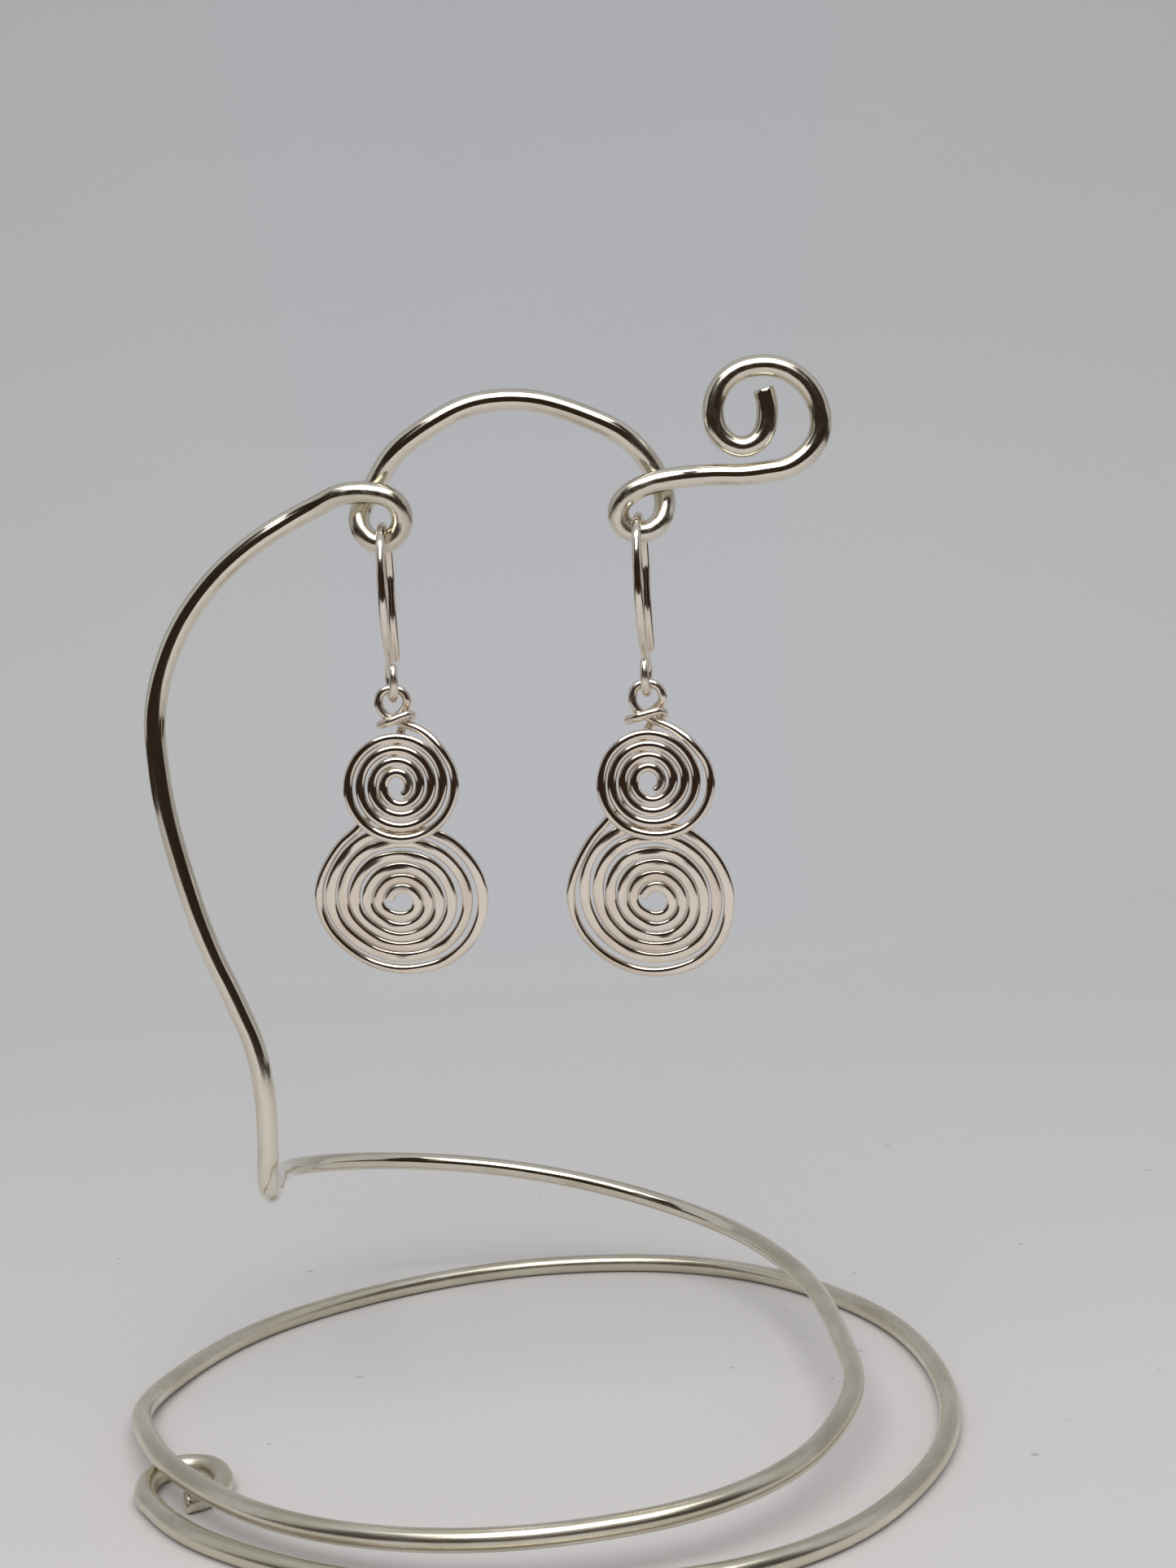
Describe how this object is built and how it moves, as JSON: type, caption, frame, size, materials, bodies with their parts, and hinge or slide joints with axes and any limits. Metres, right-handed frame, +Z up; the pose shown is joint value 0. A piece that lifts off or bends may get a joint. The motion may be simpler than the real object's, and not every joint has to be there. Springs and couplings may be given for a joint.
{
  "type": "pair of spiral wire earrings on a wire display stand",
  "caption": "Pair of double-spiral wire drops on fishhook ear wires, hanging from the loops of a display stand bent from one length of wire.",
  "frame": {"origin": "middle of the footprint, on the floor that the stand's coil rests on", "axes": "+Z up, +X to the viewer's right and +Y away from the viewer who faces the spirals"},
  "size_m": [0.0838, 0.0866, 0.1041],
  "materials": {
    "stand_wire": "silver-plated wire, warm and softly polished, with fine draw lines and nicks",
    "ear_wire": "bright polished silver wire with a few plier marks"
  },
  "bodies": {
    "stand": {"display_stand": "stand_wire", "left_ear_hook": "ear_wire", "right_ear_hook": "ear_wire"},
    "left_drop": {"left_spiral_drop": "ear_wire"},
    "right_drop": {"right_spiral_drop": "ear_wire"}
  },
  "joints": [
    {"name": "left_drop_swing", "type": "hinge", "parent": "stand", "child": "left_drop", "pos_m": [-0.01032, -0.01007, 0.07467], "axis": [1, 0, 0], "range_deg": [-85, 85]},
    {"name": "right_drop_swing", "type": "hinge", "parent": "stand", "child": "right_drop", "pos_m": [0.01373, -0.01007, 0.07406], "axis": [1, 0, 0], "range_deg": [-85, 85]}
  ]
}
